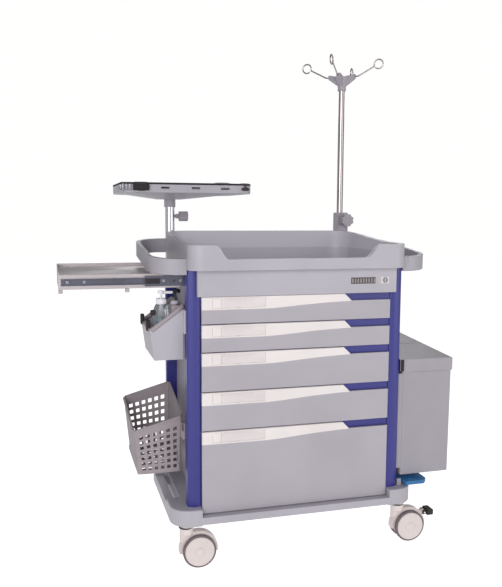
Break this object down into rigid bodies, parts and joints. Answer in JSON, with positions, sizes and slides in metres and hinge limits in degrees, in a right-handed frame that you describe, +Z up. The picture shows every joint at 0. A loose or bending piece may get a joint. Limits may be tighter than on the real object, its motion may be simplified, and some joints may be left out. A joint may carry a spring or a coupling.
{
  "type": "crash cart",
  "caption": "Hospital crash cart: drawer cabinet on twin-wheel casters with a moulded worktop, pull-out side table, turning monitor platform, IV pole, waste bins and side baskets.",
  "frame": {"origin": "centre of the whole cart's footprint box, on the floor", "axes": "+Z up, +Y from the drawer fronts to the back, +X to the right of a person facing the drawers"},
  "size_m": [1.2296, 0.7, 1.6006],
  "materials": {
    "abs_grey": "satin moulded",
    "drawer_grey": "satin moulded",
    "column_blue": "satin powder coat",
    "panel_grey": "satin powder coat",
    "warm_white": "satin moulded",
    "tub_grey": "satin powder coat",
    "zinc": "zinc plated",
    "stainless": "brushed",
    "chrome": "polished",
    "knob_grey": "matt moulded",
    "bin_grey": "satin moulded",
    "pedal_blue": "satin moulded",
    "bottle_blue": "clear moulded",
    "pump_white": "gloss moulded",
    "basket_grey": "matt moulded",
    "caster_cream": "gloss moulded",
    "wheel_tread": "non-marking tread on a cream disc",
    "brake_dark": "matt moulded"
  },
  "bodies": {
    "root": {"base_frame": "abs_grey", "corner_columns": "column_blue", "cabinet_panels": "panel_grey", "crossbars": "column_blue", "drawer_rails": "zinc", "frame_fittings": "zinc", "worktop_tray": "abs_grey", "front_fascia": "abs_grey", "side_handles": "abs_grey", "table_rails_fixed": "zinc", "platform_post": "chrome", "iv_clamp": "knob_grey", "waste_bins": "bin_grey", "utility_box": "abs_grey", "dispenser_bottle": "bottle_blue", "side_basket": "basket_grey"},
    "lock": {"lock_cylinder": "chrome"},
    "lock_slide_bar": {"lock_bar": "zinc"},
    "table": {"table_top": "stainless", "table_rails_inner": "zinc"},
    "table_middle": {"table_rails_middle": "zinc"},
    "platform": {"platform_deck": "abs_grey"},
    "platform_clamp_knob": {"platform_knob": "knob_grey"},
    "iv_tube": {"iv_pole": "chrome"},
    "iv_head": {"iv_hook_head": "knob_grey", "iv_hooks": "chrome"},
    "iv_clamp_knob": {"iv_knob": "knob_grey"},
    "lids": {"bin_lids": "bin_grey"},
    "pedal": {"bin_pedal": "pedal_blue"},
    "pump": {"dispenser_pump": "pump_white"},
    "drawer_1": {"drawer_1_front": "drawer_grey", "drawer_1_grip": "warm_white", "drawer_1_tub": "tub_grey", "drawer_1_runners": "zinc"},
    "drawer_2": {"drawer_2_front": "drawer_grey", "drawer_2_grip": "warm_white", "drawer_2_tub": "tub_grey", "drawer_2_runners": "zinc"},
    "drawer_3": {"drawer_3_front": "drawer_grey", "drawer_3_grip": "warm_white", "drawer_3_tub": "tub_grey", "drawer_3_runners": "zinc"},
    "drawer_4": {"drawer_4_front": "drawer_grey", "drawer_4_grip": "warm_white", "drawer_4_tub": "tub_grey", "drawer_4_runners": "zinc"},
    "drawer_5": {"drawer_5_front": "drawer_grey", "drawer_5_grip": "warm_white", "drawer_5_tub": "tub_grey", "drawer_5_runners": "zinc"},
    "swivel_front_left": {"caster_front_left": "caster_cream"},
    "wheel_pair_front_left": {"wheels_front_left": "wheel_tread"},
    "swivel_front_right": {"caster_front_right": "caster_cream"},
    "wheel_pair_front_right": {"wheels_front_right": "wheel_tread"},
    "brake_lever_front_right": {"brake_front_right": "brake_dark"},
    "swivel_rear_left": {"caster_rear_left": "caster_cream"},
    "wheel_pair_rear_left": {"wheels_rear_left": "wheel_tread"},
    "brake_lever_rear_left": {"brake_rear_left": "brake_dark"},
    "swivel_rear_right": {"caster_rear_right": "caster_cream"},
    "wheel_pair_rear_right": {"wheels_rear_right": "wheel_tread"}
  },
  "joints": [
    {"name": "drawer_1_slide", "type": "slide", "parent": "root", "child": "drawer_1", "axis": [0, -1, 0], "range_m": [0, 0.33]},
    {"name": "drawer_2_slide", "type": "slide", "parent": "root", "child": "drawer_2", "axis": [0, -1, 0], "range_m": [0, 0.33]},
    {"name": "drawer_3_slide", "type": "slide", "parent": "root", "child": "drawer_3", "axis": [0, -1, 0], "range_m": [0, 0.33]},
    {"name": "drawer_4_slide", "type": "slide", "parent": "root", "child": "drawer_4", "axis": [0, -1, 0], "range_m": [0, 0.33]},
    {"name": "drawer_5_slide", "type": "slide", "parent": "root", "child": "drawer_5", "axis": [0, -1, 0], "range_m": [0, 0.33]},
    {"name": "lock_turn", "type": "hinge", "parent": "root", "child": "lock", "pos_m": [0.35525, -0.325, 0.85], "axis": [0, -1, 0], "range_deg": [0, 90]},
    {"name": "lock_bar_slide", "type": "slide", "parent": "root", "child": "lock_slide_bar", "axis": [0, 0, 1], "range_m": [0, 0.01]},
    {"name": "table_slide", "type": "slide", "parent": "root", "child": "table", "axis": [1, 0, 0], "range_m": [0, 0.344]},
    {"name": "table_middle_slide", "type": "slide", "parent": "root", "child": "table_middle", "axis": [1, 0, 0], "range_m": [0, 0.1721]},
    {"name": "platform_turn", "type": "hinge", "parent": "root", "child": "platform", "pos_m": [-0.22875, 0.18, 1.108], "axis": [0, 0, 1], "range_deg": [-180, 180]},
    {"name": "platform_knob_turn", "type": "hinge", "parent": "root", "child": "platform_clamp_knob", "pos_m": [-0.22875, 0.18, 1.04], "axis": [1, 0, 0], "range_deg": [0, 360]},
    {"name": "iv_height", "type": "slide", "parent": "root", "child": "iv_tube", "axis": [0, 0, 1], "range_m": [-0.38, 0.2]},
    {"name": "iv_head_turn", "type": "hinge", "parent": "iv_tube", "child": "iv_head", "pos_m": [0.40225, 0.17, 1.495], "axis": [0, 0, 1], "continuous": true},
    {"name": "iv_knob_turn", "type": "hinge", "parent": "root", "child": "iv_clamp_knob", "pos_m": [0.41625, 0.146, 1.028], "axis": [0, -1, 0], "range_deg": [0, 360]},
    {"name": "bin_lid_lift", "type": "hinge", "parent": "root", "child": "lids", "pos_m": [0.43225, -0.105, 0.59909], "axis": [0, -0.9981, -0.0619], "range_deg": [0, 75]},
    {"name": "bin_pedal_press", "type": "hinge", "parent": "root", "child": "pedal", "pos_m": [0.43425, -0.26, 0.194], "axis": [0, 1, 0], "range_deg": [0, 8.01]},
    {"name": "pump_press", "type": "slide", "parent": "root", "child": "pump", "axis": [0, 0, -1], "range_m": [0, 0.012]},
    {"name": "swivel_turn_front_left", "type": "hinge", "parent": "root", "child": "swivel_front_left", "pos_m": [-0.26275, -0.305, 0.128], "axis": [0, 0, 1], "continuous": true},
    {"name": "wheel_roll_front_left", "type": "hinge", "parent": "swivel_front_left", "child": "wheel_pair_front_left", "pos_m": [-0.22775, -0.305, 0.05], "axis": [0, 1, 0], "continuous": true},
    {"name": "swivel_turn_front_right", "type": "hinge", "parent": "root", "child": "swivel_front_right", "pos_m": [0.42725, -0.305, 0.128], "axis": [0, 0, 1], "continuous": true},
    {"name": "wheel_roll_front_right", "type": "hinge", "parent": "swivel_front_right", "child": "wheel_pair_front_right", "pos_m": [0.46225, -0.305, 0.05], "axis": [0, 1, 0], "continuous": true},
    {"name": "brake_press_front_right", "type": "hinge", "parent": "swivel_front_right", "child": "brake_lever_front_right", "pos_m": [0.52025, -0.305, 0.084], "axis": [0, 1, 0], "range_deg": [0, 15]},
    {"name": "swivel_turn_rear_left", "type": "hinge", "parent": "root", "child": "swivel_rear_left", "pos_m": [-0.24275, 0.075, 0.128], "axis": [0, 0, 1], "continuous": true},
    {"name": "wheel_roll_rear_left", "type": "hinge", "parent": "swivel_rear_left", "child": "wheel_pair_rear_left", "pos_m": [-0.20775, 0.075, 0.05], "axis": [0, 1, 0], "continuous": true},
    {"name": "brake_press_rear_left", "type": "hinge", "parent": "swivel_rear_left", "child": "brake_lever_rear_left", "pos_m": [-0.14975, 0.075, 0.084], "axis": [0, 1, 0], "range_deg": [0, 15]},
    {"name": "swivel_turn_rear_right", "type": "hinge", "parent": "root", "child": "swivel_rear_right", "pos_m": [0.40725, 0.075, 0.128], "axis": [0, 0, 1], "continuous": true},
    {"name": "wheel_roll_rear_right", "type": "hinge", "parent": "swivel_rear_right", "child": "wheel_pair_rear_right", "pos_m": [0.44225, 0.075, 0.05], "axis": [0, 1, 0], "continuous": true}
  ],
  "couplings": [
    {"joint": "lock_turn", "follows": "lock_bar_slide", "rad_per_m": 157},
    {"joint": "table_middle_slide", "follows": "table_slide", "ratio": 0.5},
    {"joint": "bin_pedal_press", "follows": "bin_lid_lift", "ratio": 0.10667}
  ]
}
